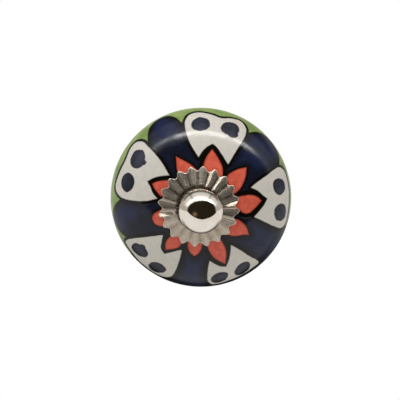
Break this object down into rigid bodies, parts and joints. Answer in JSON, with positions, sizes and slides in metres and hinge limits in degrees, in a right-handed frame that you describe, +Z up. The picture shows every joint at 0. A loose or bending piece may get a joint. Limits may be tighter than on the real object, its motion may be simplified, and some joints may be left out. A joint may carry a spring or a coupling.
{
  "type": "cabinet knob",
  "caption": "Round glazed ceramic cabinet knob with painted flower pattern, fluted metal rosette, polished ball cap and a threaded rod with base, washer and nut for mounting.",
  "frame": {"origin": "centre of the rear base's flat back face, where the knob meets the cabinet front", "axes": "+Y along the rod, into the cabinet; the knob stands out towards -Y; +Z up as mounted on an upright door or drawer front"},
  "size_m": [0.04, 0.0775, 0.04],
  "materials": {
    "painted_glaze": "gloss",
    "polished_plate": "polished",
    "pressed_plate": "satin",
    "zinc_steel": "satin"
  },
  "bodies": {
    "root": {"ceramic_body": "painted_glaze", "flower_rosette": "pressed_plate", "ball_cap": "polished_plate", "threaded_rod": "zinc_steel", "rear_base": "polished_plate", "flat_washer": "zinc_steel", "hex_nut": "zinc_steel"}
  },
  "joints": []
}
